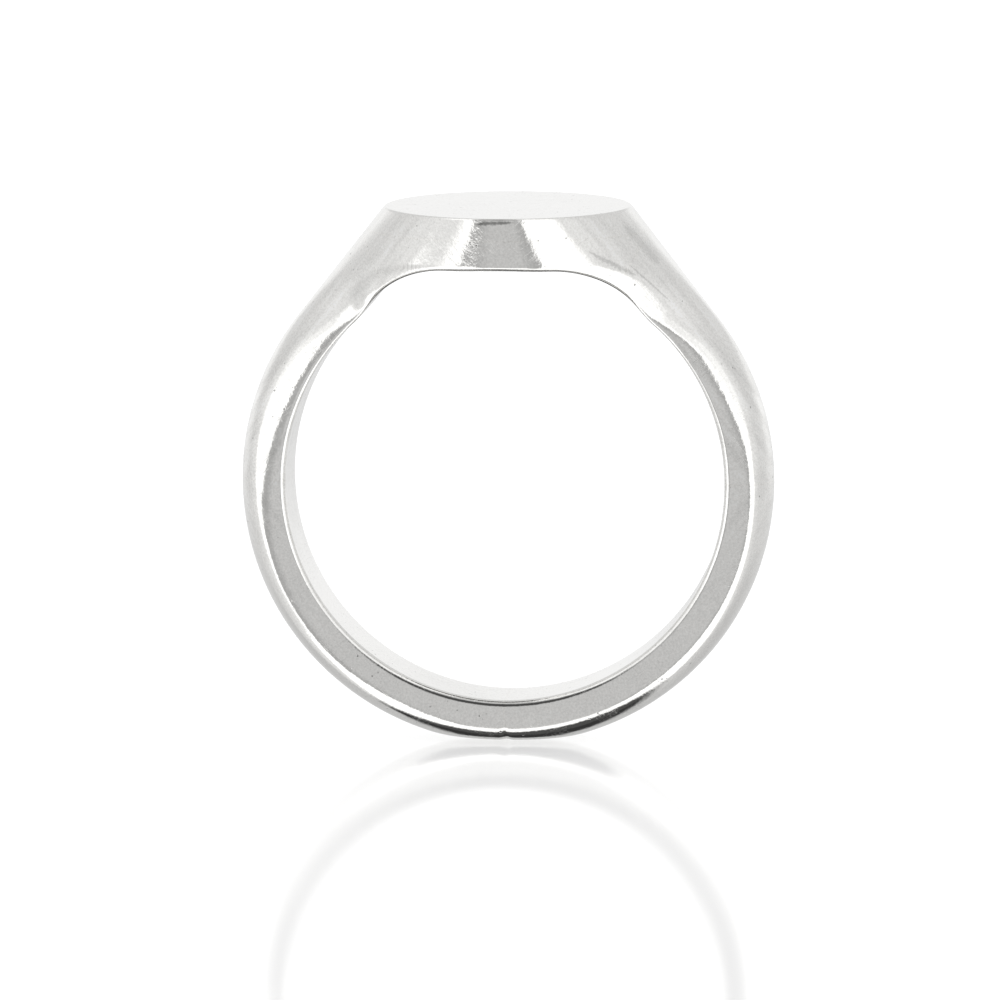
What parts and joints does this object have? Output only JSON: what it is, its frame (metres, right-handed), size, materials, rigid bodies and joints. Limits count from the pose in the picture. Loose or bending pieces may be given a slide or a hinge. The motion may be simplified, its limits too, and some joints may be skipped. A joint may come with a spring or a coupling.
{
  "type": "signet ring",
  "caption": "Oval signet ring in polished silver: flat plain table, solid head, tapering shoulders and a domed D-section shank with a soldered base seam.",
  "frame": {"origin": "centre of the finger hole, midway along it", "axes": "+Y along the finger hole, +Z from the finger hole towards the flat table, +X to the right-hand shoulder"},
  "size_m": [0.0206, 0.0121, 0.0208],
  "materials": {
    "sterling_silver": "polished",
    "silver_solder": "polished"
  },
  "bodies": {
    "root": {"table_plate": "sterling_silver", "table_solder": "silver_solder", "head_block": "sterling_silver", "left_head_solder": "silver_solder", "right_head_solder": "silver_solder", "left_shoulder": "sterling_silver", "right_shoulder": "sterling_silver", "left_shank_solder": "silver_solder", "right_shank_solder": "silver_solder", "left_shank": "sterling_silver", "right_shank": "sterling_silver", "base_solder": "silver_solder"}
  },
  "joints": []
}
